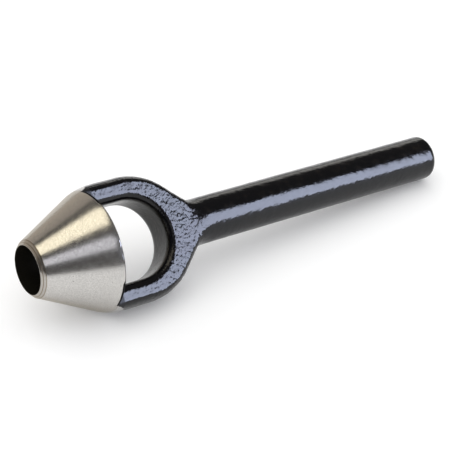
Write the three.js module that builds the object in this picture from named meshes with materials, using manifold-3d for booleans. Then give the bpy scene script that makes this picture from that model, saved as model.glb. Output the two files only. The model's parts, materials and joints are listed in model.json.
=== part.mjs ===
// A drive hole punch (arch punch) for leather, gasket and webbing.
// A conical cutting head with a 16 mm bore stands on the two arms of a forged bow, and the bow runs
// into a round handle that is struck with a mallet. Slugs leave through the opening in the bow.
//
// Each piece is drawn in the tool's own axes, in millimetres: x runs from the cutting edge to the
// struck end, y runs across the two arms, z is the thickness of the bow. The finished tool then lies
// on the floor (z = 0, +Z up), rolled over on to its lower arm, with +X towards the struck end.

import * as THREE from "three";
import { mergeVertices } from "three/addons/utils/BufferGeometryUtils.js";
import Module from "manifold-3d";

const wasm = await Module();
wasm.setup();

const toRadians = THREE.MathUtils.degToRad;

// Driving dimensions, in millimetres unless the name says degrees
const overallLength = 165.6;
const boreDiameter = 16; // the size of the hole that the tool cuts
const handleDiameter = 15.6;
const gap = 0.3; // clearance left between neighbouring solids

// Cutting head
const bevelLength = 1.25; // the sharpened bevel, measured along the axis
const bevelOuterRadius = 9.45;
const coneAngleDegrees = 26.2; // half angle of the ground cone
const shoulderStart = 20.7; // where the cone begins to round over towards the arms
const shoulderRadius = 18.4;
const headLength = 23.6; // cutting edge to the flat back face
const rimEase = 0.35; // the broken corner between the shoulder and the back face
const boreLand = 7; // straight part of the bore behind the edge
const boreExitRadius = 9.2; // the bore opens out behind its land, so slugs fall free

// Bow
const bowThickness = 13.8;
const armOuterHalfWidth = 20.9;
const openingHalfWidth = 12.9; // also the radius of the round end of the opening
const openingCentre = 36.1; // centre of that round end, along the axis
const bowShoulderStart = 37.9; // where the outside of the bow starts to close in
const bowShoulderRadius = 21.5;
const closingAngleDegrees = 44; // slope at which the bow closes on the handle
const neckFilletRadius = 7;
const neckSweep = 16; // radius of the turned sweep from the bow's faces to the handle
const edgeRounding = 2.8; // the edges of the opening
const draftAcross = 2.9; // how far the outside falls in from the parting line to each face
const flashHalfHeight = 0.5; // half the height of the upright band at the parting line
const neckLength = 66; // where the bow stops and the handle starts

// The turned swelling inside the neck, which carries the round of the handle into the flat of the bow
const swellingSetback = 4; // from the opening to the swelling
const swellingNose = 4; // length of its rounded nose
const swellingInset = 0.4; // how far the nose stays under the bow's faces
const swellingEnd = 3; // where it reaches the full round of the handle, short of neckLength

// The turned envelope that trims the bow
const sweepAngleDegrees = 52; // how much of the neck's turned sweep is used
const sweepEnd = 2; // where that sweep ends, short of neckLength
const sweepLead = 8; // length over which the envelope narrows to the sweep
const shoulderRelief = 2; // length over which it opens out behind the head's shoulder
const envelopeMargin = 4; // how far it stands outside the arms between them

// Weld fillets between head and arms
const weldLeg = 1.8;
const weldHollowAlong = 0.35; // the fillet's hollow middle, as shares of its leg
const weldHollowOut = 0.55;
const weldToe = 0.15; // thickness left where the fillet runs out on the arm
const weldSetback = 3.2; // it stops this far from the outside, where arm and head are ground flush

// Handle
const struckEdgeRadius = 2.3;

// Resting pose
const rollDegrees = 49.4; // plane of the bow against the floor, with head and lower arm both touching it
const steepestPitchDegrees = 12; // the pitch is searched for between level and this
const pitchHalvings = 40;

const turnedSegments = 64;
const curveSegments = 14;
const filletSegments = 8;
const openingSegments = 26;
const shoulderSegments = 3;
const edgeSteps = 5;
const overrun = 12; // how far a shape runs past the plane that trims it

const coneAngle = toRadians(coneAngleDegrees);
const closingAngle = toRadians(closingAngleDegrees);
const handleRadius = handleDiameter / 2;

// Points of an arc about (cx, cy) from one angle to another, ends included
function arcPoints(cx, cy, radius, from, to, steps) {
  return Array.from({ length: steps + 1 }, (_, i) => {
    const angle = from + ((to - from) * i) / steps;
    return new THREE.Vector2(cx + radius * Math.cos(angle), cy + radius * Math.sin(angle));
  });
}

// A solid of revolution about x, from a closed profile of (x, radius) points
function turned(profile) {
  const points = profile.map((p) => new THREE.Vector2(p.y, p.x));
  const lathe = new THREE.LatheGeometry(points, turnedSegments);
  return lathe.rotateZ(-Math.PI / 2);
}

function toSolid(geometry) {
  const plain = geometry.clone();
  plain.deleteAttribute("normal");
  plain.deleteAttribute("uv");
  const merged = mergeVertices(plain, 1e-4);
  return new wasm.Manifold(
    new wasm.Mesh({
      numProp: 3,
      vertProperties: new Float32Array(merged.attributes.position.array),
      triVerts: new Uint32Array(merged.index.array),
    }),
  );
}

function toGeometry(solid) {
  const mesh = solid.getMesh();
  const geometry = new THREE.BufferGeometry();
  const positions = new Float32Array(mesh.vertProperties);
  geometry.setAttribute("position", new THREE.BufferAttribute(positions, 3));
  geometry.setIndex(new THREE.BufferAttribute(new Uint32Array(mesh.triVerts), 1));
  geometry.computeVertexNormals();
  return geometry;
}

function boxSolid(x0, x1, y0, y1, z0, z1) {
  const box = new THREE.BoxGeometry(x1 - x0, y1 - y0, z1 - z0);
  return toSolid(box.translate((x0 + x1) / 2, (y0 + y1) / 2, (z0 + z1) / 2));
}

// The cone's radius at a place along the axis
function coneRadius(x) {
  return bevelOuterRadius + (x - bevelLength) * Math.tan(coneAngle);
}

// The rounded shoulder: an arc that leaves the cone at shoulderStart and ends parallel to the axis
const shoulderCentre = new THREE.Vector2(
  shoulderStart + shoulderRadius * Math.sin(coneAngle),
  coneRadius(shoulderStart) - shoulderRadius * Math.cos(coneAngle),
);

function shoulderRadiusAt(x) {
  const across = shoulderCentre.x - x;
  return shoulderCentre.y + Math.sqrt(shoulderRadius ** 2 - across ** 2);
}

// Points along the shoulder, from where it leaves the cone to a place further back
function shoulderPoints(end) {
  return Array.from({ length: shoulderSegments + 1 }, (_, i) => {
    const x = THREE.MathUtils.lerp(shoulderStart, end, i / shoulderSegments);
    return new THREE.Vector2(x, shoulderRadiusAt(x));
  });
}

// The head: edge, bevel, cone, rounded shoulder, back face, then the bore back to the edge
function makeCuttingHead() {
  const rimStart = headLength - rimEase;
  const profile = [
    new THREE.Vector2(0, boreDiameter / 2),
    new THREE.Vector2(bevelLength, bevelOuterRadius),
    ...shoulderPoints(rimStart),
    new THREE.Vector2(headLength, shoulderRadiusAt(rimStart) - rimEase),
    new THREE.Vector2(headLength, boreExitRadius),
    new THREE.Vector2(boreLand, boreDiameter / 2),
    new THREE.Vector2(0, boreDiameter / 2),
  ];
  return turned(profile);
}

// Half of the bow's outside outline, from the head to the handle, on the +y side, drawn inside the real
// edge by inset
function bowOutline(inset) {
  const arcCentre = new THREE.Vector2(bowShoulderStart, armOuterHalfWidth - bowShoulderRadius);
  const closingEnd = Math.PI / 2 - closingAngle;
  const lineStart = arcPoints(arcCentre.x, arcCentre.y, bowShoulderRadius, closingEnd, 0, 1)[0];
  const filletDrop = neckFilletRadius * (1 - Math.cos(closingAngle));
  const fall = lineStart.y - handleRadius - filletDrop;
  const filletEnd =
    lineStart.x + fall / Math.tan(closingAngle) + neckFilletRadius * Math.sin(closingAngle);
  return [
    ...arcPoints(
      arcCentre.x,
      arcCentre.y,
      bowShoulderRadius - inset,
      Math.PI / 2,
      closingEnd,
      curveSegments,
    ),
    ...arcPoints(
      filletEnd,
      handleRadius + neckFilletRadius,
      neckFilletRadius + inset,
      -Math.PI / 2 - closingAngle,
      -Math.PI / 2,
      filletSegments,
    ),
  ];
}

// A plate in the bow's outline, with edges rounded over by size across and by thickness through
function roundedPlate(size, thickness, hole) {
  const side = bowOutline(size);
  const half = armOuterHalfWidth - size;
  const neck = handleRadius - size;
  const start = headLength - overrun;
  const end = neckLength + overrun;
  const outline = new THREE.Shape([
    new THREE.Vector2(start, -half),
    ...side.map((p) => new THREE.Vector2(p.x, -p.y)),
    new THREE.Vector2(end, -neck),
    new THREE.Vector2(end, neck),
    ...side.toReversed(),
    new THREE.Vector2(start, half),
  ]);
  if (hole) outline.holes.push(hole);
  const plate = new THREE.ExtrudeGeometry(outline, {
    depth: bowThickness - 2 * thickness,
    bevelEnabled: true,
    bevelThickness: thickness,
    bevelSize: size,
    bevelSegments: edgeSteps,
    steps: 1,
  });
  return toSolid(plate.translate(0, 0, thickness - bowThickness / 2));
}

// The U-shaped opening: its straight sides run into the head, and its round end faces the handle
function openingPath() {
  const radius = openingHalfWidth + edgeRounding;
  const start = headLength - overrun / 2;
  return new THREE.Path([
    new THREE.Vector2(start, radius),
    new THREE.Vector2(start, -radius),
    ...arcPoints(openingCentre, 0, radius, -Math.PI / 2, Math.PI / 2, openingSegments),
  ]);
}

// The swelling: a rounded nose behind the opening, then a taper out to the round of the handle
function neckSwelling() {
  const nose = openingCentre + openingHalfWidth + swellingSetback;
  const noseRadius = bowThickness / 2 - swellingInset;
  const roundNose = arcPoints(0, 0, 1, Math.PI, Math.PI / 2, filletSegments).map(
    (p) => new THREE.Vector2(nose + swellingNose * (1 + p.x), noseRadius * p.y),
  );
  return toSolid(
    turned([
      ...roundNose,
      new THREE.Vector2(neckLength - swellingEnd, handleRadius),
      new THREE.Vector2(neckLength + overrun, handleRadius),
      new THREE.Vector2(neckLength + overrun, 0),
    ]),
  );
}

// Everything the bow may fill: it carries the head's rounded shoulder on to the arms, and narrows to the
// round of the handle at the neck
function turnedEnvelope() {
  const wide = armOuterHalfWidth + envelopeMargin;
  const shoulder = shoulderPoints(shoulderCentre.x);
  const narrowing = arcPoints(
    neckLength - sweepEnd,
    handleRadius + neckSweep,
    neckSweep,
    -Math.PI / 2 - toRadians(sweepAngleDegrees),
    -Math.PI / 2,
    filletSegments,
  );
  return toSolid(
    turned([
      new THREE.Vector2(0, 0),
      new THREE.Vector2(0, shoulder[0].y),
      ...shoulder,
      new THREE.Vector2(shoulderCentre.x + shoulderRelief, wide),
      new THREE.Vector2(narrowing[0].x - sweepLead, wide),
      ...narrowing,
      new THREE.Vector2(neckLength + overrun, handleRadius),
      new THREE.Vector2(neckLength + overrun, 0),
    ]),
  );
}

function makeBow() {
  const room = 2 * armOuterHalfWidth;
  const trimmed = boxSolid(headLength + gap, neckLength, -room, room, -room, room);
  const plate = roundedPlate(edgeRounding, edgeRounding, openingPath());
  const drafted = roundedPlate(draftAcross, bowThickness / 2 - flashHalfHeight);
  const body = plate.intersect(drafted).intersect(turnedEnvelope()).add(neckSwelling());
  return toGeometry(body.intersect(trimmed));
}

// The weld fillet round the inner side and both faces of one arm, where it meets the head's back face.
// side is +1 for the upper arm and -1 for the lower one.
function makeArmWeld(side) {
  const middle = (armOuterHalfWidth + openingHalfWidth) / 2;
  const halfWidth = (armOuterHalfWidth - openingHalfWidth) / 2;
  // the arm's section grown by a clearance, as a closed ring of (y, z) points
  const ring = (grown) => {
    const r = edgeRounding + grown;
    const cy = halfWidth - edgeRounding;
    const cz = bowThickness / 2 - edgeRounding;
    return [
      ...arcPoints(middle + cy, cz, r, 0, Math.PI / 2, edgeSteps),
      ...arcPoints(middle - cy, cz, r, Math.PI / 2, Math.PI, edgeSteps),
      ...arcPoints(middle - cy, -cz, r, Math.PI, 1.5 * Math.PI, edgeSteps),
      ...arcPoints(middle + cy, -cz, r, 1.5 * Math.PI, 2 * Math.PI, edgeSteps),
    ];
  };
  const face = headLength + gap;
  const section = [
    { x: face, grown: gap },
    { x: face, grown: weldLeg },
    { x: face + weldHollowAlong * weldLeg, grown: weldHollowOut * weldLeg },
    { x: face + weldLeg, grown: gap + weldToe },
    { x: face + weldLeg, grown: gap },
  ];
  const rings = section.map(({ x, grown }) => ring(grown).map((p) => [x, side * p.x, p.y]));
  const count = rings[0].length;
  const positions = rings.flat(2);
  const index = [];
  rings.forEach((_, k) => {
    const next = (k + 1) % rings.length;
    for (let i = 0; i < count; i++) {
      const j = (i + 1) % count;
      const [a, b, c, d] = [k * count + i, k * count + j, next * count + j, next * count + i];
      if (side > 0) index.push(a, b, c, a, c, d);
      else index.push(a, c, b, a, d, c);
    }
  });
  const geometry = new THREE.BufferGeometry();
  geometry.setAttribute("position", new THREE.Float32BufferAttribute(positions, 3));
  geometry.setIndex(index);
  const ends = [openingHalfWidth - overrun, armOuterHalfWidth - weldSetback];
  const span = ends.map((y) => side * y).sort((a, b) => a - b);
  const kept = boxSolid(0, headLength + overrun, ...span, -bowThickness, bowThickness);
  return toGeometry(toSolid(geometry).intersect(kept));
}

// The handle: a round bar with a flat struck end and a rounded edge
function makeHandle() {
  const edge = arcPoints(
    overallLength - struckEdgeRadius,
    handleRadius - struckEdgeRadius,
    struckEdgeRadius,
    Math.PI / 2,
    0,
    edgeSteps,
  );
  return turned([
    new THREE.Vector2(neckLength + gap, 0),
    new THREE.Vector2(neckLength + gap, handleRadius),
    ...edge,
    new THREE.Vector2(overallLength, 0),
  ]);
}

const finishes = {
  groundSteel: { color: 0xb9b4ac, roughness: 0.32, metalness: 1 },
  blackLacquer: { color: 0x0d0e12, roughness: 0.28, metalness: 0.1 },
};

function piece(name, geometry, finish) {
  const mesh = new THREE.Mesh(geometry, new THREE.MeshStandardMaterial(finishes[finish]));
  mesh.name = name;
  return mesh;
}

const tool = new THREE.Group();
tool.add(
  piece("cutting_head", makeCuttingHead(), "groundSteel"),
  piece("bow", makeBow(), "blackLacquer"),
  piece("handle", makeHandle(), "blackLacquer"),
  piece("weld_upper_arm", makeArmWeld(1), "blackLacquer"),
  piece("weld_lower_arm", makeArmWeld(-1), "blackLacquer"),
);

// Lays the tool down: rolled about its own axis, then pitched until the head end and the struck end
// both touch the floor.
function lieDown(group) {
  group.rotation.x = toRadians(rollDegrees);
  const outer = new THREE.Group();
  outer.add(group);
  const middle = overallLength / 2;
  const point = new THREE.Vector3();
  const lowest = (pitch) => {
    outer.rotation.y = pitch;
    outer.updateMatrixWorld(true);
    const low = { front: Infinity, rear: Infinity };
    for (const mesh of group.children) {
      const places = mesh.geometry.attributes.position;
      for (let i = 0; i < places.count; i++) {
        point.fromBufferAttribute(places, i);
        const end = point.x < middle ? "front" : "rear";
        low[end] = Math.min(low[end], point.applyMatrix4(mesh.matrixWorld).z);
      }
    }
    return low;
  };
  let [level, steep] = [0, toRadians(steepestPitchDegrees)];
  for (let i = 0; i < pitchHalvings; i++) {
    const pitch = (level + steep) / 2;
    const low = lowest(pitch);
    if (low.front < low.rear) level = pitch;
    else steep = pitch;
  }
  outer.rotation.y = (level + steep) / 2;
  outer.updateMatrixWorld(true);
  const bounds = new THREE.Box3().setFromObject(outer, true);
  const centre = bounds.getCenter(new THREE.Vector3());
  outer.position.set(-centre.x, -centre.y, -bounds.min.z);
  return outer;
}

const punch = lieDown(tool);
punch.updateMatrixWorld(true);

export default punch;
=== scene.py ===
import json
import math

import bmesh
import bpy
import numpy as np
from mathutils import Matrix, Vector


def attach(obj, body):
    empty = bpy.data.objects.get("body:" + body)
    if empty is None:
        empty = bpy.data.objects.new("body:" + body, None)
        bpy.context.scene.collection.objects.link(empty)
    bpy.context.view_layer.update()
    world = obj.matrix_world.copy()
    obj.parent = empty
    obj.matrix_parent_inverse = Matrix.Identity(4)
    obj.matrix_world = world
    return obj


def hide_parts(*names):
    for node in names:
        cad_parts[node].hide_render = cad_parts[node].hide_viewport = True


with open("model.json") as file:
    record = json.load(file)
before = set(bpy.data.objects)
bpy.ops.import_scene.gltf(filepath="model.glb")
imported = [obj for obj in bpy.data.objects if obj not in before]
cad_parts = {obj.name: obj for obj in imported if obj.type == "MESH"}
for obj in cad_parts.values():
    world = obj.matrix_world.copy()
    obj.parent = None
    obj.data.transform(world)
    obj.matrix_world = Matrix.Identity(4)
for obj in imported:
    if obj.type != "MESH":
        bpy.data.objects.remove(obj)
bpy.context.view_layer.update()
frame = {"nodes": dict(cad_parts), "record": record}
print("frame loaded")

mm = 0.001  # every size below is in millimetres, in the tool's own axes
mergeDistance = 0.0005
# x runs from the cutting edge to the struck end, y across the two arms, z through the bow

# Where the tool lies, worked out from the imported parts


def cornersOf(nodeName):
    return [v.co.copy() for v in frame["nodes"][nodeName].data.vertices]


def middleOf(points):
    total = Vector((0, 0, 0))
    for point in points:
        total += point
    return total / len(points)


def findTool():
    mount = frame["record"]["mounts"][0]
    along = Vector(mount["axis"]).normalized()
    struckEnd = Vector(mount["pos_m"])
    length = struckEnd.dot(along) - min(p.dot(along) for p in cornersOf("cutting_head"))
    upper = middleOf(cornersOf("weld_upper_arm"))
    lower = middleOf(cornersOf("weld_lower_arm"))
    across = upper - lower
    across = (across - along * across.dot(along)).normalized()
    through = along.cross(across)
    turn = Matrix((along, across, through)).transposed().to_4x4()
    return Matrix.Translation(struckEnd - along * length) @ turn, length / mm


toolPlace, toolLength = findTool()
toWorld = toolPlace @ Matrix.Scale(mm, 4)
print("tool found, %.1f mm long" % toolLength)

# Small helpers for node trees


def plug(tree, value, socket):
    if isinstance(value, bpy.types.NodeSocket):
        tree.links.new(value, socket)
    else:
        socket.default_value = value


def addMath(tree, operation, *values):
    node = tree.nodes.new("ShaderNodeMath")
    node.operation = operation
    for value, socket in zip(values, node.inputs):
        plug(tree, value, socket)
    return node.outputs[0]


def mathIn(tree):
    # addMath with its tree already given
    def m(operation, *values):
        return addMath(tree, operation, *values)

    return m


def addNode(tree, kind, outlet=0, settings=None, **inputs):
    node = tree.nodes.new(kind)
    for name, value in (settings or {}).items():
        setattr(node, name, value)
    for name, value in inputs.items():
        plug(tree, value, node.inputs[name.replace("_", " ")])
    return node.outputs[outlet]


def addVector(tree, x, y, z):
    node = tree.nodes.new("ShaderNodeCombineXYZ")
    for value, socket in zip((x, y, z), node.inputs):
        plug(tree, value, socket)
    return node.outputs[0]


def splitVector(tree, vector):
    node = tree.nodes.new("ShaderNodeSeparateXYZ")
    plug(tree, vector, node.inputs[0])
    return node.outputs[:]


def addHypot(tree, a, b):
    squares = addMath(tree, "ADD", addMath(tree, "MULTIPLY", a, a), addMath(tree, "MULTIPLY", b, b))
    return addMath(tree, "SQRT", squares)


def addFade(tree, value, start, end, low=0.0, high=1.0):
    # low up to start, high from end on, with a soft step between; start may be the larger of the two
    return addNode(
        tree,
        "ShaderNodeMapRange",
        settings={"interpolation_type": "SMOOTHSTEP"},
        Value=value,
        From_Min=start,
        From_Max=end,
        To_Min=low,
        To_Max=high,
    )


def addNoise(tree, place, size, detail, seed, roughness=0.5):
    isSocket = isinstance(size, bpy.types.NodeSocket)
    scale = addMath(tree, "DIVIDE", 1.0, size) if isSocket else 1.0 / size
    return addNode(
        tree,
        "ShaderNodeTexNoise",
        settings={"noise_dimensions": "4D"},
        Vector=place,
        W=seed,
        Scale=scale,
        Detail=detail,
        Roughness=roughness,
    )


def addScaled(tree, vector, scale):
    node = tree.nodes.new("ShaderNodeVectorMath")
    node.operation = "SCALE"
    plug(tree, vector, node.inputs[0])
    plug(tree, scale, node.inputs["Scale"])
    return node.outputs[0]


def newTree(name, inputs):
    tree = bpy.data.node_groups.new(name, "GeometryNodeTree")
    for label, (kind, default) in inputs.items():
        socket = tree.interface.new_socket(name=label, in_out="INPUT", socket_type=kind)
        if default is not None:
            socket.default_value = default
    tree.interface.new_socket(name="Geometry", in_out="OUTPUT", socket_type="NodeSocketGeometry")
    return tree


def newFieldGroup(name, settings, outputs):
    # A group that turns a place into numbers, with each setting as a named input
    tree = bpy.data.node_groups.new(name, "GeometryNodeTree")
    tree.interface.new_socket(name="Place", in_out="INPUT", socket_type="NodeSocketVector")
    for label, value in settings.items():
        socket = tree.interface.new_socket(name=label, in_out="INPUT", socket_type="NodeSocketFloat")
        socket.default_value = value
    for label in outputs:
        tree.interface.new_socket(name=label, in_out="OUTPUT", socket_type="NodeSocketFloat")
    return tree


def useGroup(tree, group, place, given, labels):
    node = tree.nodes.new("GeometryNodeGroup")
    node.node_tree = group
    plug(tree, place, node.inputs["Place"])
    for label in labels:
        plug(tree, given[label], node.inputs[label])
    return node.outputs


def treeInputs(tree):
    node = tree.nodes.new("NodeGroupInput")
    return {socket.name: socket for socket in node.outputs if socket.name}


def closeGroup(tree, *values):
    out = tree.nodes.new("NodeGroupOutput")
    for value, socket in zip(values, out.inputs):
        tree.links.new(value, socket)


def closeTree(tree, geometry, material):
    realized = addNode(tree, "GeometryNodeRealizeInstances", Geometry=geometry)
    painted = addNode(tree, "GeometryNodeSetMaterial", Geometry=realized, Material=material)
    closeGroup(tree, painted)


def pushOut(tree, geometry, lift):
    normal = addNode(tree, "GeometryNodeInputNormal")
    offset = addScaled(tree, normal, lift)
    return addNode(tree, "GeometryNodeSetPosition", Geometry=geometry, Offset=offset)


def growMesh(tree, name, values):
    # Runs a tree on an empty mesh and returns what it made as a plain mesh
    carrier = bpy.data.objects.new(name + "Carrier", bpy.data.meshes.new(name + "Carrier"))
    bpy.context.scene.collection.objects.link(carrier)
    modifier = carrier.modifiers.new(name, "NODES")
    modifier.node_group = tree
    for item in tree.interface.items_tree:
        if item.item_type == "SOCKET" and item.in_out == "INPUT" and item.name in values:
            modifier[item.identifier] = values[item.name]
    carrier.update_tag()
    bpy.context.view_layer.update()
    depsgraph = bpy.context.evaluated_depsgraph_get()
    mesh = bpy.data.meshes.new_from_object(carrier.evaluated_get(depsgraph))
    bpy.data.objects.remove(carrier)
    mesh.name = name
    return mesh


def finishPiece(name, mesh, node):
    mesh.transform(toWorld)
    piece = bpy.data.objects.new(name, mesh)
    bpy.context.scene.collection.objects.link(piece)
    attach(piece, "root")
    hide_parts(node)
    print(name, "made,", len(mesh.polygons), "faces")


def tidyMesh(mesh, sharpDegrees):
    work = bmesh.new()
    work.from_mesh(mesh)
    bmesh.ops.remove_doubles(work, verts=work.verts, dist=mergeDistance)
    bmesh.ops.recalc_face_normals(work, faces=work.faces)
    for face in work.faces:
        face.smooth = True
    work.to_mesh(mesh)
    work.free()
    mesh.set_sharp_from_angle(angle=math.radians(sharpDegrees))


# Camera

cameraSettings = {
    "aim": Vector((-0.00616, 0.00056, 0.01013)),  # metres
    "distance": 0.5414,
    "azimuth": -36.75,  # degrees round from looking along +Y
    "elevation": 34.45,
    "roll": 2.1,
    "lens": 128.0,  # millimetres, as the sensor
    "sensor": 36.0,
}


def makeCamera(s):
    turn = (
        Matrix.Rotation(math.radians(s["azimuth"]), 4, "Z")
        @ Matrix.Rotation(math.radians(90 - s["elevation"]), 4, "X")
        @ Matrix.Rotation(math.radians(s["roll"]), 4, "Z")
    )
    data = bpy.data.cameras.new("camera")
    data.lens = s["lens"]
    data.sensor_width = s["sensor"]
    data.clip_start = 0.01
    camera = bpy.data.objects.new("camera", data)
    back = turn.to_3x3() @ Vector((0, 0, 1))
    camera.matrix_world = Matrix.Translation(s["aim"] + back * s["distance"]) @ turn
    bpy.context.scene.collection.objects.link(camera)
    bpy.context.scene.camera = camera


makeCamera(cameraSettings)

# Sizes of the pieces; the materials below read some of them too

headSettings = {
    "boreRadius": 8.0,
    "edgeWidth": 0.15,  # the flat left on the cutting edge
    "edgeRounding": 0.04,
    "facetLength": 0.55,  # the first of the bevel's two facets
    "facetRadius": 8.78,
    "grooveLead": (0.05, 0.03),  # the fine groove between the facets: how far before it, how deep
    "grooveDepth": 0.09,
    "grooveExit": (0.07, 0.04),  # and how far behind it, how high
    "bevelLength": 1.25,
    "bevelOuterRadius": 9.45,
    "bevelRounding": 0.2,
    "coneAngle": 26.2,  # degrees from the axis
    "shoulderStart": 20.7,
    "shoulderRadius": 18.4,
    "shoulderStations": 9,
    "length": 23.6,
    "rimEase": 0.35,
    "rimRounding": 0.3,
    "backRounding": 0.15,
    "boreLand": 7.0,
    "boreLandRounding": 0.5,
    "boreExitRadius": 9.2,
    "boreExitRounding": 0.3,
    "segments": 384,
    "step": 0.8,
    "sharpAngle": 25,  # an edge that turns more than this is drawn sharp
}

handleSettings = {
    "radius": 7.8,
    "start": 66.0,
    "edgeRadius": 2.3,
    "segments": 168,
    "step": 0.34,
    "sharpAngle": 50,
}

bowSettings = {
    "Arm Half Width": 20.9,
    "Opening Radius": 12.9,
    "Opening Centre": 36.1,
    "Closing Start": 37.9,
    "Closing Radius": 21.5,
    "Closing Angle": math.radians(44),
    "Half Thickness": 6.9,
    "Draft Across": 2.9,
    "Flash Half Height": 0.5,
    "Edge Across": 3.0,
    "Edge Narrowing": 0.35,  # share of that width lost at the handle end of the opening
    "Land Half Height": 3.6,
    "Bar Radius": 7.8,
    "Neck Blend": 3.0,
    "Turning Start": 58.0,  # between these the section turns from flat to round
    "Turning End": 65.8,
    "Grinding Blend": 0.25,  # softness of the edge that the grinding leaves on the arms
}

scaleSettings = {
    "Rough Centre": 51.0,  # the forge scale is coarsest round the end of the opening
    "Rough Side": -4.0,  # and on the lower arm rather than the upper one
    "Rough Reach": 31.0,
    "Rough Core": 8.0,  # full strength inside this radius
    "Rough End": 54.0,  # from here on it dies away towards the handle
    "Grain Size": 0.72,
    "Grain Height": 0.11,
    "Rough Height": 0.38,
    "Wave Size": 4.5,
    "Wave Height": 0.14,
}

noiseSeeds = {
    "speckle": 1.0,
    "grain": 2.0,
    "turning": 4.0,
    "cloud": 5.0,
    "worn": 6.0,
    "peel": 7.0,
    "lump": 8.0,
    "scale": 9.0,
    "streak": 10.0,
    "rimLap": 11.0,
    "armEdge": 12.0,
    "forgeGrain": 21.0,
    "forgeWave": 22.0,
}

# Materials, all drawn in the tool's own axes; a pair of numbers is where a soft step starts and ends


def newMaterial(name):
    material = bpy.data.materials.new(name)
    material.use_nodes = True
    return material, material.node_tree, material.node_tree.nodes["Principled BSDF"]


def toolAxes(tree):
    # Object coordinates brought into the tool's axes, in millimetres
    coordinates = tree.nodes.new("ShaderNodeTexCoord")
    mapping = tree.nodes.new("ShaderNodeMapping")
    mapping.vector_type = "TEXTURE"
    tree.links.new(coordinates.outputs["Object"], mapping.inputs["Vector"])
    mapping.inputs["Location"].default_value = toolPlace.to_translation()
    mapping.inputs["Rotation"].default_value = toolPlace.to_euler()
    mapping.inputs["Scale"].default_value = (mm, mm, mm)
    return mapping.outputs[0]


def mixColour(tree, share, a, b):
    node = tree.nodes.new("ShaderNodeMix")
    node.data_type = "RGBA"
    plug(tree, share, node.inputs["Factor"])
    for value, socket in ((a, node.inputs[6]), (b, node.inputs[7])):
        plug(tree, value if isinstance(value, bpy.types.NodeSocket) else (*value, 1), socket)
    return node.outputs[2]


def mixValue(tree, share, a, b):
    node = tree.nodes.new("ShaderNodeMix")
    plug(tree, share, node.inputs["Factor"])
    plug(tree, a, node.inputs[2])
    plug(tree, b, node.inputs[3])
    return node.outputs[0]


def pitCells(tree, place, spacing):
    # Scattered cells: how far a place is from its cell's middle, and a number drawn for each cell
    cell = tree.nodes.new("ShaderNodeTexVoronoi")
    plug(tree, place, cell.inputs["Vector"])
    cell.inputs["Scale"].default_value = 1.0 / spacing
    return cell.outputs["Distance"], splitVector(tree, cell.outputs["Color"])[0]


steelLook = {
    "bright": (0.60, 0.585, 0.56),
    "dull": (0.45, 0.437, 0.418),
    "speckleFade": (0.35, 0.65),
    "bevelBrownAndShade": (0.22, 0.18, 0.13),  # the sharpened bevel's brown tone, also the colour of the painted shade lines at the facet turns
    "brownShare": 0.35,
    "brownEdge": 0.05,
    "facetShadeLine": (0.22, 0.08),  # painted shade: a dark line where two facets meet
    "facetShadeShare": 0.8,
    "roughLow": 0.19,
    "roughHigh": 0.24,
    "cloudSize": 1.6,
    "cloudFade": (0.3, 0.7),
    "grainSize": 0.32,
    "grainHeight": 0.008,
    "turningPitch": 0.25,
    "turningHeight": 0.002,
    "pit": (0.10, 0.09, 0.08),
    "pitShare": 0.8,
    "pitSpacing": 2.2,
    "pitPick": (0.55, 0.6),  # more than half the cells have no pit
    "pitRadius": 0.09,  # of the largest, as a share of the spacing
    "pitDepth": 0.03,
}


def groundSteel(tree, place, s):
    m = mathIn(tree)
    x = splitVector(tree, place)[0]
    speckle = addNoise(tree, place, s["grainSize"], 2.0, noiseSeeds["speckle"], 0.7)
    colour = mixColour(tree, addFade(tree, speckle, *s["speckleFade"]), s["bright"], s["dull"])
    away, pick = pitCells(tree, place, s["pitSpacing"])
    size = addFade(tree, pick, s["pitPick"][0], 1.0, 0.0, s["pitRadius"])
    pit = addFade(tree, away, size, m("MULTIPLY", size, 0.5))
    pit = m("MULTIPLY", pit, addFade(tree, pick, *s["pitPick"]))
    colour = mixColour(tree, m("MULTIPLY", pit, s["pitShare"]), colour, s["pit"])
    # the bevel is browner, with a painted shade line where each facet meets the next
    bevelEnd = headSettings["bevelLength"]
    soft = s["brownEdge"]
    bevel = addFade(tree, x, bevelEnd + soft, bevelEnd - soft, 0.0, s["brownShare"])
    for turnAt in (headSettings["facetLength"], bevelEnd):
        fromTurn = m("ABSOLUTE", m("SUBTRACT", x, turnAt))
        # painted shade along the crease at this facet turn
        facetShade = addFade(tree, fromTurn, *s["facetShadeLine"], 0.0, s["facetShadeShare"])
        bevel = m("MAXIMUM", bevel, facetShade)
    colour = mixColour(tree, bevel, colour, s["bevelBrownAndShade"])
    grain = addNoise(tree, place, s["grainSize"], 1.0, noiseSeeds["grain"])
    # faint turning marks run round the axis
    along = addVector(tree, m("DIVIDE", x, s["turningPitch"]), 0.0, 0.0)
    mark = addNoise(tree, along, 1.0, 2.0, noiseSeeds["turning"])
    height = m("MULTIPLY", grain, s["grainHeight"])
    height = m("MULTIPLY_ADD", mark, s["turningHeight"], height)
    height = m("MULTIPLY_ADD", pit, -s["pitDepth"], height)
    cloud = addNoise(tree, place, s["cloudSize"], 2.0, noiseSeeds["cloud"])
    roughness = addFade(tree, cloud, *s["cloudFade"], s["roughLow"], s["roughHigh"])
    return colour, roughness, height


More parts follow.
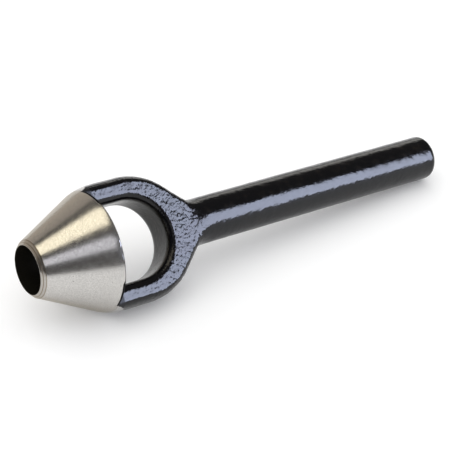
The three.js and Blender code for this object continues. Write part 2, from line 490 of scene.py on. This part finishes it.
lacquerLook = {
    "ior": 1.52,
    "gloss": 0.3,
    "tint": (1, 1, 1),
    "coat": 0.06,  # how far it stands over bare steel
    "deep": (0.004, 0.004, 0.005),
    "thin": (0.010, 0.008, 0.007),  # where the coat is thin over the scale
    "wornSize": 2.2,
    "wornColour": (0.5, 0.75),
    "wornGloss": (0.35, 0.7),
    "roughLow": 0.10,
    "roughHigh": 0.22,
    "land": (0.008, 0.007, 0.005),  # the wall of the opening
    "landEdge": (0.5, 0.2),  # past the opening's radius
    "landEnd": (53.0, 51.0),
    "landRough": 0.05,
    "cornerEdge": (2.6, 1.8),  # the dull corner, behind the head's back face
    "cornerRough": 0.35,
    "peelSize": 0.55,
    "peelHeight": 0.014,
    "lumpSize": 1.7,
    "lumpHeight": 0.06,
    "pitSpacing": 1.5,
    "pitEdge": (0.17, 0.05),  # as a share of the spacing
    "pitPick": (0.5, 0.65),
    "pitDepth": 0.06,
    "pitLeast": 0.2,  # share of the depth outside the rough patch
    "scaleSize": 0.6,
    "scaleHeight": 0.10,
    "scaleLeast": 0.25,
    "streakSize": 0.5,
    "streakSquash": 0.08,
    "streakHeight": 0.05,
}
headLook = {**lacquerLook, "gloss": 0.08, "tint": (0.74, 0.70, 0.64)}
weldLook = {**lacquerLook, "roughLow": 0.35, "roughHigh": 0.5}


def roughPatch(tree, x, y, s):
    # 1 round the end of the opening, 0 out along the arms and the handle
    fromCentre = addMath(tree, "SUBTRACT", x, s["Rough Centre"])
    fromSide = addMath(tree, "SUBTRACT", y, s["Rough Side"])
    near = addFade(tree, addHypot(tree, fromCentre, fromSide), s["Rough Reach"], s["Rough Core"])
    return addMath(tree, "MULTIPLY", near, addFade(tree, x, handleSettings["start"], s["Rough End"]))


def blackLacquer(tree, place, s):
    m = mathIn(tree)
    x, y, z = splitVector(tree, place)
    patch = roughPatch(tree, x, y, scaleSettings)
    beyond = m("MAXIMUM", m("SUBTRACT", x, bowSettings["Opening Centre"]), 0.0)
    landStart, landFull = (bowSettings["Opening Radius"] + edge for edge in s["landEdge"])
    land = addFade(tree, addHypot(tree, beyond, y), landStart, landFull)
    land = m("MULTIPLY", land, addFade(tree, x, *s["landEnd"]))
    worn = addNoise(tree, place, s["wornSize"], 3.0, noiseSeeds["worn"])
    colour = mixColour(tree, addFade(tree, worn, *s["wornColour"]), s["deep"], s["thin"])
    colour = mixColour(tree, land, colour, s["land"])

    peel = addNoise(tree, place, s["peelSize"], 1.0, noiseSeeds["peel"])
    lump = addNoise(tree, place, s["lumpSize"], 2.0, noiseSeeds["lump"])
    scale = addNoise(tree, place, s["scaleSize"], 1.5, noiseSeeds["scale"], 0.6)
    streaked = addVector(tree, x, y, m("MULTIPLY", z, s["streakSquash"]))
    streak = addNoise(tree, streaked, s["streakSize"], 2.0, noiseSeeds["streak"])
    away, pick = pitCells(tree, place, s["pitSpacing"])
    pit = m("MULTIPLY", addFade(tree, away, *s["pitEdge"]), addFade(tree, pick, *s["pitPick"]))
    height = m("MULTIPLY", peel, s["peelHeight"])
    height = m("MULTIPLY_ADD", lump, s["lumpHeight"], height)
    pitShare = m("MULTIPLY_ADD", patch, 1.0 - s["pitLeast"], s["pitLeast"])
    height = m("MULTIPLY_ADD", pit, m("MULTIPLY", pitShare, -s["pitDepth"]), height)
    scaleShare = m("MULTIPLY_ADD", patch, 1.0 - s["scaleLeast"], s["scaleLeast"])
    height = m("MULTIPLY_ADD", scale, m("MULTIPLY", scaleShare, s["scaleHeight"]), height)
    height = m("ADD", height, m("MULTIPLY", streak, m("MULTIPLY", land, s["streakHeight"])))

    roughness = addFade(tree, worn, *s["wornGloss"], s["roughLow"], s["roughHigh"])
    roughness = m("MULTIPLY_ADD", land, s["landRough"], roughness)
    # the lacquer is dull in the corner behind the head
    cornerStart, cornerFull = (headSettings["length"] + edge for edge in s["cornerEdge"])
    corner = addFade(tree, x, cornerStart, cornerFull, 0.0, s["cornerRough"])
    return colour, m("ADD", roughness, corner), height


def makeFinish(name, look, steelShare=None):
    # Lacquer, with bare ground steel where steelShare says so
    material, tree, shader = newMaterial(name)
    place = toolAxes(tree)
    colour, roughness, height = blackLacquer(tree, place, look)
    if steelShare:
        share = steelShare(tree, place)
        steelColour, steelRoughness, steelHeight = groundSteel(tree, place, steelLook)
        colour = mixColour(tree, share, colour, steelColour)
        roughness = mixValue(tree, share, roughness, steelRoughness)
        height = mixValue(tree, share, addMath(tree, "ADD", height, look["coat"]), steelHeight)
        plug(tree, share, shader.inputs["Metallic"])
    plug(tree, colour, shader.inputs["Base Color"])
    plug(tree, roughness, shader.inputs["Roughness"])
    shader.inputs["IOR"].default_value = look["ior"]
    shader.inputs["Specular IOR Level"].default_value = look["gloss"]
    shader.inputs["Specular Tint"].default_value = (*look["tint"], 1)
    bump = tree.nodes.new("ShaderNodeBump")
    bump.inputs["Distance"].default_value = mm
    plug(tree, height, bump.inputs["Height"])
    plug(tree, bump.outputs[0], shader.inputs["Normal"])
    return material


headLap = {
    "boreGrowth": 0.08,  # the lacquer in the bore follows the bore as it opens out
    "boreEdge": (0.03, 0.06),
    "start": 0.5,  # how far ahead of the back face the lacquer comes over the rim
    "edge": 0.05,
    "wander": 0.2,
    "wanderSize": 1.2,
    "armLap": 0.55,  # further than that beside each arm
    "armLapAcross": (12.0, 13.5),
    "armLapOutside": (4.0, 5.0),
    "flushStop": 1.5,  # and not at all where the arm is ground flush
    "flushAcross": (15.5, 16.5),
    "flushInside": (6.3, 5.7),
}


def headSteelShare(tree, place):
    # Bare outside; lacquered in the bore and on the back face
    m = mathIn(tree)
    s = headLap
    x, y, z = splitVector(tree, place)
    across = m("ABSOLUTE", y)
    upright = m("ABSOLUTE", z)
    wander = addNoise(tree, place, s["wanderSize"], 2.0, noiseSeeds["rimLap"])
    bore = m("MULTIPLY_ADD", m("MAXIMUM", x, 0.0), s["boreGrowth"], headSettings["boreRadius"])
    outside = addFade(tree, m("SUBTRACT", addHypot(tree, y, z), bore), *s["boreEdge"])
    rim = m("MULTIPLY_ADD", wander, s["wander"], headSettings["length"] - s["start"])
    byArm = addFade(tree, across, *s["armLapAcross"], 0.0, s["armLap"])
    rim = m("SUBTRACT", rim, m("MULTIPLY", byArm, addFade(tree, upright, *s["armLapOutside"])))
    flush = addFade(tree, upright, *s["flushInside"], 0.0, s["flushStop"])
    rim = m("ADD", rim, m("MULTIPLY", flush, addFade(tree, across, *s["flushAcross"])))
    ahead = addFade(tree, m("SUBTRACT", x, rim), s["edge"], -s["edge"])
    return m("MULTIPLY", outside, ahead)


armLap = {"wander": 0.4, "wanderSize": 1.6, "edge": (0.06, 0.16)}


def armSteelShare(tree, place):
    # Bare where the arm was ground flush with the head
    ground = tree.nodes.new("ShaderNodeAttribute")
    ground.attribute_name = "ground"
    wander = addNoise(tree, place, armLap["wanderSize"], 3.0, noiseSeeds["armEdge"], 0.6)
    wander = addMath(tree, "SUBTRACT", wander, 0.5)
    edge = addMath(tree, "MULTIPLY_ADD", wander, armLap["wander"], ground.outputs["Fac"])
    return addFade(tree, edge, *armLap["edge"])


headFinish = makeFinish("groundSteel", headLook, headSteelShare)
bowFinish = makeFinish("lacquerAndGroundSteel", lacquerLook, armSteelShare)
blackFinish = makeFinish("blackLacquer", lacquerLook)
weldFinish = makeFinish("weldLacquer", weldLook)
print("materials made")

# The forge scale that bow and handle share


def makeScaleGroup(s):
    tree = newFieldGroup("forgeScale", s, ["Lift"])
    given = treeInputs(tree)
    place = given["Place"]
    x, y, _ = splitVector(tree, place)
    patch = roughPatch(tree, x, y, given)

    def bumps(size, seed):
        return addMath(tree, "SUBTRACT", addNoise(tree, place, size, 1.0, seed), 0.5)

    grain = bumps(given["Grain Size"], noiseSeeds["forgeGrain"])
    wave = bumps(given["Wave Size"], noiseSeeds["forgeWave"])
    height = addMath(tree, "MULTIPLY_ADD", patch, given["Rough Height"], given["Grain Height"])
    lift = addMath(tree, "MULTIPLY", grain, height)
    lift = addMath(tree, "MULTIPLY_ADD", wave, given["Wave Height"], lift)
    closeGroup(tree, lift)
    return tree


scaleGroup = makeScaleGroup(scaleSettings)

# Turned pieces: one tree revolves a profile about the tool's axis


def makeLatheTree():
    tree = newTree(
        "turnedPiece",
        {
            "Profile": ("NodeSocketObject", None),
            "Segments": ("NodeSocketInt", 256),
            "Scale Share": ("NodeSocketFloat", 0.0),
            "Material": ("NodeSocketMaterial", None),
            **{label: ("NodeSocketFloat", value) for label, value in scaleSettings.items()},
        },
    )
    given = treeInputs(tree)
    profile = tree.nodes.new("GeometryNodeObjectInfo")
    plug(tree, given["Profile"], profile.inputs["Object"])
    outline = profile.outputs["Geometry"]
    stations = addNode(tree, "GeometryNodeAttributeDomainSize", Geometry=outline)
    columns = addMath(tree, "ADD", given["Segments"], 1.0)
    grid = addNode(tree, "GeometryNodeMeshGrid", Vertices_X=columns, Vertices_Y=stations)
    index = addNode(tree, "GeometryNodeInputIndex")
    between = addMath(tree, "DIVIDE", addMath(tree, "ADD", index, 0.5), stations)
    column = addMath(tree, "FLOOR", between)
    station = addMath(tree, "SUBTRACT", index, addMath(tree, "MULTIPLY", column, stations))
    angle = addMath(tree, "MULTIPLY", addMath(tree, "DIVIDE", column, given["Segments"]), math.tau)
    place = tree.nodes.new("GeometryNodeSampleIndex")
    place.data_type = "FLOAT_VECTOR"
    position = addNode(tree, "GeometryNodeInputPosition")
    tree.links.new(outline, place.inputs["Geometry"])
    tree.links.new(position, place.inputs["Value"])
    tree.links.new(station, place.inputs["Index"])
    axial, radius, _ = splitVector(tree, place.outputs[0])
    turned = addVector(
        tree,
        axial,
        addMath(tree, "MULTIPLY", radius, addMath(tree, "COSINE", angle)),
        addMath(tree, "MULTIPLY", radius, addMath(tree, "SINE", angle)),
    )
    shaped = addNode(tree, "GeometryNodeSetPosition", Geometry=grid, Position=turned)
    closed = addNode(tree, "GeometryNodeMergeByDistance", Geometry=shaped, Distance=mergeDistance)
    lift = useGroup(tree, scaleGroup, position, given, scaleSettings)[0]
    rough = pushOut(tree, closed, addMath(tree, "MULTIPLY", lift, given["Scale Share"]))
    closeTree(tree, rough, given["Material"])
    return tree


latheTree = makeLatheTree()

arcStep = math.radians(7)
fewestArcSteps = 3


def roundedProfile(corners, step):
    # corners are (x, radius, rounding); each corner becomes an arc, each straight is cut into steps
    points = []
    last = len(corners) - 1
    for i, (x, r, rounding) in enumerate(corners):
        here = Vector((x, r))
        if rounding == 0 or i == 0 or i == last:
            points.append(here)
            continue
        toBefore = (Vector(corners[i - 1][:2]) - here).normalized()
        toAfter = (Vector(corners[i + 1][:2]) - here).normalized()
        half = toBefore.angle(toAfter) / 2
        reach = rounding / math.tan(half)
        centre = here + (toBefore + toAfter).normalized() * (rounding / math.sin(half))
        start = here + toBefore * reach - centre
        end = here + toAfter * reach - centre
        sweep = start.angle_signed(end)
        steps = max(fewestArcSteps, int(abs(sweep) / arcStep))
        for k in range(steps + 1):
            points.append(centre + Matrix.Rotation(-sweep * k / steps, 2) @ start)
    fine = [points[0]]
    for a, b in zip(points, points[1:]):
        pieces = max(1, math.ceil((b - a).length / step))
        fine.extend(a.lerp(b, (k + 1) / pieces) for k in range(pieces))
    return fine


def outlineObject(name, points):
    mesh = bpy.data.meshes.new(name)
    edges = [(i, i + 1) for i in range(len(points) - 1)]
    mesh.from_pydata([tuple(p.to_3d()) for p in points], edges, [])
    holder = bpy.data.objects.new(name, mesh)
    bpy.context.scene.collection.objects.link(holder)
    return holder


def turnPiece(name, points, values):
    profile = outlineObject(name + "Profile", points)
    mesh = growMesh(latheTree, name, {"Profile": profile, **values})
    bpy.data.objects.remove(profile)
    return mesh


# Cutting head


def shoulderCurve(s):
    slope = math.radians(s["coneAngle"])
    startRadius = s["bevelOuterRadius"] + (s["shoulderStart"] - s["bevelLength"]) * math.tan(slope)
    centreX = s["shoulderStart"] + s["shoulderRadius"] * math.sin(slope)
    centreR = startRadius - s["shoulderRadius"] * math.cos(slope)
    return centreX, centreR


def headProfile(s):
    centreX, centreR = shoulderCurve(s)
    rimX = s["length"] - s["rimEase"]

    def radiusAt(x):
        return centreR + math.sqrt(s["shoulderRadius"] ** 2 - (centreX - x) ** 2)

    stations = np.linspace(s["shoulderStart"], rimX, s["shoulderStations"])
    shoulder = [(x, radiusAt(x), 0) for x in stations]
    wallStart = s["boreLand"] / 2
    edgeRadius = s["boreRadius"] + s["edgeWidth"]
    leadX, leadDrop = s["grooveLead"]
    exitX, exitRise = s["grooveExit"]
    corners = [
        (wallStart, s["boreRadius"], 0),
        (0.0, s["boreRadius"], s["edgeRounding"]),
        (0.0, edgeRadius, s["edgeRounding"]),
        (s["facetLength"] - leadX, s["facetRadius"] - leadDrop, 0),
        (s["facetLength"], s["facetRadius"] - s["grooveDepth"], 0),
        (s["facetLength"] + exitX, s["facetRadius"] + exitRise, 0),
        (s["bevelLength"], s["bevelOuterRadius"], s["bevelRounding"]),
        *shoulder[:-1],
        (rimX, radiusAt(rimX), s["rimRounding"]),
        (s["length"], radiusAt(rimX) - s["rimEase"], s["backRounding"]),
        (s["length"], s["boreExitRadius"], s["boreExitRounding"]),
        (s["boreLand"], s["boreRadius"], s["boreLandRounding"]),
        (wallStart, s["boreRadius"], 0),
    ]
    return roundedProfile(corners, s["step"])


headMesh = turnPiece(
    "cuttingHead",
    headProfile(headSettings),
    {"Segments": headSettings["segments"], "Material": headFinish},
)
tidyMesh(headMesh, headSettings["sharpAngle"])
finishPiece("cuttingHead", headMesh, "cutting_head")

# Handle


def handleProfile(s):
    corners = [
        (s["start"], 0.0, 0),
        (s["start"], s["radius"], 0),
        (toolLength, s["radius"], s["edgeRadius"]),
        (toolLength, 0.0, 0),
    ]
    return roundedProfile(corners, s["step"])


handleMesh = turnPiece(
    "handleBar",
    handleProfile(handleSettings),
    {
        "Segments": handleSettings["segments"],
        "Scale Share": 1.0,
        "Material": blackFinish,
        **scaleSettings,
    },
)
tidyMesh(handleMesh, handleSettings["sharpAngle"])
finishPiece("handleBar", handleMesh, "handle")

# Bow: a field that tells how far a place is from the skin, then a mesh grown on that field


def makeDistanceGroup(s):
    # Distance is below zero inside the metal, Ground is above zero where the head's round
    # cuts the arm, and Hole is how far a place is inside the opening
    tree = newFieldGroup("bowDistance", s, ["Distance", "Ground", "Hole"])
    given = treeInputs(tree)
    m = mathIn(tree)

    def roundedEdge(flat, across, upright, halfHeight, thickness):
        # a quarter ellipse that joins a side wall to the flat face
        side = m("DIVIDE", m("MAXIMUM", m("ADD", flat, across), 0.0), across)
        rise = m("SUBTRACT", thickness, halfHeight)
        top = m("DIVIDE", m("MAXIMUM", m("SUBTRACT", upright, halfHeight), 0.0), rise)
        return m("MULTIPLY", m("SUBTRACT", addHypot(tree, side, top), 1.0), across)

    x, y, z = splitVector(tree, given["Place"])
    away = m("ABSOLUTE", y)
    height = m("ABSOLUTE", z)
    fromAxis = addHypot(tree, y, z)

    past = m("MAXIMUM", m("SUBTRACT", x, given["Closing Start"]), 0.0)
    lift = m("SUBTRACT", given["Closing Radius"], given["Arm Half Width"])
    outer = m("ADD", away, lift)
    slope = m("MINIMUM", m("ARCTAN2", past, outer), given["Closing Angle"])
    reach = m("ADD", m("MULTIPLY", past, m("SINE", slope)), m("MULTIPLY", outer, m("COSINE", slope)))
    outline = m("SUBTRACT", reach, given["Closing Radius"])
    flank = m("SUBTRACT", away, given["Bar Radius"])
    outline = m("SMOOTH_MIN", outline, flank, given["Neck Blend"])
    outside = roundedEdge(
        outline, given["Draft Across"], height, given["Flash Half Height"], given["Half Thickness"]
    )

    beyond = m("MAXIMUM", m("SUBTRACT", x, given["Opening Centre"]), 0.0)
    fromCentre = addHypot(tree, beyond, y)
    hole = m("SUBTRACT", given["Opening Radius"], fromCentre)
    turned = m("DIVIDE", beyond, m("MAXIMUM", fromCentre, 1.0))
    narrowed = m("SUBTRACT", 1.0, m("MULTIPLY", turned, given["Edge Narrowing"]))
    edge = m("MULTIPLY", given["Edge Across"], narrowed)
    inside = roundedEdge(hole, edge, height, given["Land Half Height"], given["Half Thickness"])
    plate = m("MAXIMUM", outside, inside)

    # towards the handle the plate gives way to a round bar
    bar = m("SUBTRACT", fromAxis, given["Bar Radius"])
    turning = addFade(tree, x, given["Turning Start"], given["Turning End"])
    flat = m("MULTIPLY", plate, m("SUBTRACT", 1.0, turning))
    body = m("MULTIPLY_ADD", bar, turning, flat)

    # the head's rounding goes on over the arms
    centreX, centreR = shoulderCurve(headSettings)
    short = m("MAXIMUM", m("SUBTRACT", centreX, x), 0.0)
    radius = headSettings["shoulderRadius"]
    drop = m("SQRT", m("SUBTRACT", radius * radius, m("MULTIPLY", short, short)))
    behind = m("MAXIMUM", m("SUBTRACT", x, centreX), 0.0)
    ground = m("SUBTRACT", m("SUBTRACT", fromAxis, m("ADD", drop, centreR)), behind)
    distance = m("SMOOTH_MAX", body, ground, given["Grinding Blend"])
    closeGroup(tree, distance, m("SUBTRACT", ground, body), hole)
    return tree


bowBlock = {
    "Start": 22.6,  # the block that the bow is grown in runs between these
    "End": 67.0,
    "Margin": 1.5,
    "Voxel": 0.31,
    "Skin Level": 2.0,
}
bowSkin = {
    "passes": 4,  # each moves the skin nearer to where the distance is zero
    "wallCalm": (-0.4, -3.0),  # the scale dies away on the wall of the opening
    "wallLeast": 0.05,
    "groundCalm": (-0.2, -1.2),  # and where the arms are ground
    "sharpAngle": 60,
}


def makeBowTree(distanceGroup, s):
    settings = s | scaleSettings | bowBlock
    inputs = {label: ("NodeSocketFloat", value) for label, value in settings.items()}
    inputs["Material"] = ("NodeSocketMaterial", None)
    tree = newTree("forgedBow", inputs)
    given = treeInputs(tree)
    position = addNode(tree, "GeometryNodeInputPosition")
    field = useGroup(tree, distanceGroup, position, given, s)
    wide = addMath(tree, "ADD", given["Arm Half Width"], given["Margin"])
    deep = addMath(tree, "ADD", given["Bar Radius"], given["Margin"])
    cube = tree.nodes.new("GeometryNodeVolumeCube")
    density = addMath(tree, "SUBTRACT", given["Skin Level"], field["Distance"])
    plug(tree, density, cube.inputs["Density"])
    low = addVector(
        tree,
        given["Start"],
        addMath(tree, "MULTIPLY", wide, -1.0),
        addMath(tree, "MULTIPLY", deep, -1.0),
    )
    plug(tree, low, cube.inputs["Min"])
    plug(tree, addVector(tree, given["End"], wide, deep), cube.inputs["Max"])
    spans = (
        addMath(tree, "SUBTRACT", given["End"], given["Start"]),
        addMath(tree, "MULTIPLY", wide, 2.0),
        addMath(tree, "MULTIPLY", deep, 2.0),
    )
    for span, label in zip(spans, ("Resolution X", "Resolution Y", "Resolution Z")):
        plug(tree, addMath(tree, "DIVIDE", span, given["Voxel"]), cube.inputs[label])
    level = given["Skin Level"]
    skin = addNode(tree, "GeometryNodeVolumeToMesh", Volume=cube.outputs[0], Threshold=level)
    for _ in range(bowSkin["passes"]):
        skin = pushOut(tree, skin, addMath(tree, "MULTIPLY", field["Distance"], -1.0))
    skin = addNode(
        tree,
        "GeometryNodeStoreNamedAttribute",
        settings={"data_type": "FLOAT", "domain": "POINT"},
        Geometry=skin,
        Name="ground",
        Value=field["Ground"],
    )
    offWall = addFade(tree, field["Hole"], *bowSkin["wallCalm"], bowSkin["wallLeast"])
    offGround = addFade(tree, field["Ground"], *bowSkin["groundCalm"])
    share = addMath(tree, "MULTIPLY", offWall, offGround)
    lift = useGroup(tree, scaleGroup, position, given, scaleSettings)[0]
    skin = pushOut(tree, skin, addMath(tree, "MULTIPLY", lift, share))
    closeTree(tree, skin, given["Material"])
    return tree


def cutEnds(mesh, start, end):
    # Flat ends that meet the head and the handle
    work = bmesh.new()
    work.from_mesh(mesh)
    for x, direction in ((start, -1), (end, 1)):
        cut = bmesh.ops.bisect_plane(
            work,
            geom=work.verts[:] + work.edges[:] + work.faces[:],
            plane_co=(x, 0, 0),
            plane_no=(direction, 0, 0),
            clear_outer=True,
            dist=1e-5,
        )
        rim = [e for e in cut["geom_cut"] if isinstance(e, bmesh.types.BMEdge)]
        bmesh.ops.holes_fill(work, edges=rim)
    work.to_mesh(mesh)
    work.free()


distanceGroup = makeDistanceGroup(bowSettings)
bowTree = makeBowTree(distanceGroup, bowSettings)
bowValues = {**bowSettings, **scaleSettings, **bowBlock, "Material": bowFinish}
bowMesh = growMesh(bowTree, "bowForging", bowValues)
cutEnds(bowMesh, headSettings["length"] - headSettings["rimEase"], handleSettings["start"])
tidyMesh(bowMesh, bowSkin["sharpAngle"])
finishPiece("bowForging", bowMesh, "bow")

# Weld beads where the arms stand on the head

weldSettings = {
    "Bead Radius": 1.2,
    "Ripple Spacing": 0.85,
    "Ripple Height": 0.12,
    "Lump Height": 0.3,
    "Seed": 31.0,
}
weldShape = {
    "samplesPerRipple": 5.0,
    "ringPoints": 24,
    "tip": (0.5, 0.42),  # the bead thins between these, as shares of its length from its middle
    "tipShare": 0.35,
    "lumpFrequency": 0.6,
    "standOff": 0.9,  # from the head's back face
    "outerInset": 3.6,  # from the arm's outer side
    "bendSteps": 8,
    "sharpAngle": 60,
}


def makeWeldTree(s):
    inputs = {label: ("NodeSocketFloat", value) for label, value in s.items()}
    inputs["Path"] = ("NodeSocketObject", None)
    inputs["Material"] = ("NodeSocketMaterial", None)
    tree = newTree("weldBead", inputs)
    given = treeInputs(tree)
    source = tree.nodes.new("GeometryNodeObjectInfo")
    plug(tree, given["Path"], source.inputs["Object"])
    path = addNode(tree, "GeometryNodeMeshToCurve", Mesh=source.outputs["Geometry"])
    path = addNode(
        tree,
        "GeometryNodeResampleCurve",
        settings={"mode": "LENGTH"},
        Curve=path,
        Length=addMath(tree, "DIVIDE", given["Ripple Spacing"], weldShape["samplesPerRipple"]),
    )
    spline = tree.nodes.new("GeometryNodeSplineParameter")
    turns = addMath(tree, "DIVIDE", spline.outputs["Length"], given["Ripple Spacing"])
    phase = addMath(tree, "FRACT", turns)
    ripple = addMath(tree, "MULTIPLY", addMath(tree, "SQRT", phase), given["Ripple Height"])
    fromMiddle = addMath(tree, "ABSOLUTE", addMath(tree, "SUBTRACT", spline.outputs["Factor"], 0.5))
    taper = addFade(tree, fromMiddle, *weldShape["tip"], weldShape["tipShare"])
    radius = addMath(tree, "MULTIPLY", addMath(tree, "ADD", given["Bead Radius"], ripple), taper)
    points = weldShape["ringPoints"]
    ring = addNode(tree, "GeometryNodeCurvePrimitiveCircle", Resolution=points, Radius=1.0)
    bead = tree.nodes.new("GeometryNodeCurveToMesh")
    plug(tree, path, bead.inputs["Curve"])
    plug(tree, ring, bead.inputs["Profile Curve"])
    bead.inputs["Fill Caps"].default_value = True
    plug(tree, radius, bead.inputs["Scale"])
    position = addNode(tree, "GeometryNodeInputPosition")
    noise = addNoise(tree, position, 1.0 / weldShape["lumpFrequency"], 1.0, given["Seed"])
    lump = addMath(tree, "MULTIPLY", addMath(tree, "SUBTRACT", noise, 0.5), given["Lump Height"])
    closeTree(tree, pushOut(tree, bead.outputs[0], lump), given["Material"])
    return tree


def weldPath(side, s):
    # Round the inner side and both faces of an arm, just off the head's back face
    x = headSettings["length"] + weldShape["standOff"]
    inner = s["Opening Radius"] + s["Edge Across"]
    rise = s["Half Thickness"] - s["Land Half Height"]
    outer = s["Arm Half Width"] - weldShape["outerInset"]
    half = [Vector((x, outer, s["Half Thickness"]))]
    for k in range(weldShape["bendSteps"] + 1):
        turn = math.radians(90 - 90 * k / weldShape["bendSteps"])
        y = inner - s["Edge Across"] * math.cos(turn)
        half.append(Vector((x, y, s["Land Half Height"] + rise * math.sin(turn))))
    whole = half + [Vector((p.x, p.y, -p.z)) for p in reversed(half)]
    return [Vector((p.x, side * p.y, p.z)) for p in whole]


weldTree = makeWeldTree(weldSettings)
for name, side, node in (("upperWeld", 1, "weld_upper_arm"), ("lowerWeld", -1, "weld_lower_arm")):
    path = outlineObject(name + "Path", weldPath(side, bowSettings))
    seed = weldSettings["Seed"] + side
    values = {**weldSettings, "Path": path, "Material": weldFinish, "Seed": seed}
    weldMesh = growMesh(weldTree, name, values)
    bpy.data.objects.remove(path)
    tidyMesh(weldMesh, weldShape["sharpAngle"])
    finishPiece(name, weldMesh, node)

# Floor, panels and room

floorSettings = {
    "half": 6.0,  # metres
    "colour": (0.92, 0.92, 0.92),
    "roughness": 0.9,
    "glow": 0.12,  # keeps the shadow light
}


def makeFloor(s):
    mesh = bpy.data.meshes.new("floor")
    half = s["half"]
    corners = [(x * half, y * half, 0) for x, y in ((-1, -1), (1, -1), (1, 1), (-1, 1))]
    mesh.from_pydata(corners, [], [(0, 1, 2, 3)])
    floor = bpy.data.objects.new("floor", mesh)
    bpy.context.scene.collection.objects.link(floor)
    material, _, shader = newMaterial("paleFloor")
    shader.inputs["Base Color"].default_value = (*s["colour"], 1)
    shader.inputs["Roughness"].default_value = s["roughness"]
    shader.inputs["Emission Color"].default_value = (1, 1, 1, 1)
    shader.inputs["Emission Strength"].default_value = s["glow"]
    mesh.materials.append(material)


panels = {
    # azimuth and elevation in degrees, from +X and the floor; sizes and distance in metres
    "window": {
        "azimuth": -56.5, "elevation": 23, "distance": 1.2, "width": 0.87, "height": 0.78,
        "colour": (0.70, 0.77, 1.0), "radiance": 15.5, "mirrored": True,
    },
    "frontPanel": {
        "azimuth": -125, "elevation": 42, "distance": 1.2, "width": 0.55, "height": 0.41,
        "colour": (0.90, 0.91, 1.0), "radiance": 1.05, "mirrored": True,
    },
    "warmPanel": {
        "azimuth": 158, "elevation": 71, "distance": 1.1, "width": 0.70, "height": 0.60,
        "colour": (1.0, 0.92, 0.72), "radiance": 1.85, "mirrored": True,
    },
    "backPanel": {
        "azimuth": 48, "elevation": 19, "distance": 1.2, "width": 0.5, "height": 0.3,
        "colour": (1.0, 0.98, 0.95), "radiance": 1.5, "mirrored": True,
    },
    "fill": {
        "azimuth": 120, "elevation": 80, "distance": 2.0, "width": 4.4, "height": 4.4,
        "colour": (1.0, 0.995, 0.985), "radiance": 0.42, "mirrored": False,
    },
}


def makePanel(name, s):
    data = bpy.data.lights.new(name, "AREA")
    data.shape = "RECTANGLE"
    data.size = s["width"]
    data.size_y = s["height"]
    data.color = s["colour"]
    data.energy = s["radiance"] * math.pi * s["width"] * s["height"]
    light = bpy.data.objects.new(name, data)
    azimuth = math.radians(s["azimuth"])
    elevation = math.radians(s["elevation"])
    flat = math.cos(elevation)
    toLight = Vector((flat * math.cos(azimuth), flat * math.sin(azimuth), math.sin(elevation)))
    turn = toLight.to_track_quat("Z", "Y").to_matrix().to_4x4()
    light.matrix_world = Matrix.Translation(toLight * s["distance"]) @ turn
    light.visible_camera = False
    # the fill lights the floor, and the others are only seen in the metal
    light.visible_glossy = s["mirrored"]
    light.visible_diffuse = not s["mirrored"]
    bpy.context.scene.collection.objects.link(light)


# What the metal mirrors beyond the panels; each area has a soft step in the direction's x, y and z
room = {
    "dark": (0.11, 0.105, 0.10),
    "backWall": ((0.5, 0.28), (-0.1, 0.3), (0.76, 0.66)),
    "backWallColours": ((0.66, 0.60, 0.52), (0.46, 0.41, 0.36)),  # at its foot and at its top
    "backWallHeights": (0.0, 0.65),
    "rightWall": ((0.4, 0.58), (0.3, 0.55), (0.55, 0.40)),
    "rightWallColour": (0.36, 0.35, 0.32),
    "sweep": ((0.1, 0.35), None, (0.16, 0.08)),  # the floor sweeps up a little on the right
    "sweepColour": (0.85, 0.85, 0.87),
    "matt": (0.85, 0.85, 0.85),  # what the floor and matt surfaces gather
}


def makeRoom(s):
    world = bpy.data.worlds.new("studio")
    bpy.context.scene.world = world
    world.use_nodes = True
    tree = world.node_tree
    direction = splitVector(tree, addNode(tree, "ShaderNodeTexCoord"))

    def area(limits):
        share = 1.0
        for value, step in zip(direction, limits):
            if step:
                share = addMath(tree, "MULTIPLY", share, addFade(tree, value, *step))
        return share

    wall = mixColour(tree, addFade(tree, direction[2], *s["backWallHeights"]), *s["backWallColours"])
    colour = mixColour(tree, area(s["backWall"]), s["dark"], wall)
    colour = mixColour(tree, area(s["rightWall"]), colour, s["rightWallColour"])
    colour = mixColour(tree, area(s["sweep"]), colour, s["sweepColour"])
    ray = tree.nodes.new("ShaderNodeLightPath")
    colour = mixColour(tree, ray.outputs["Is Diffuse Ray"], colour, s["matt"])
    plug(tree, colour, tree.nodes["Background"].inputs["Color"])


makeFloor(floorSettings)
for name, settings in panels.items():
    makePanel(name, settings)
makeRoom(room)
bpy.context.scene.view_settings.view_transform = "Standard"
print("stage set")
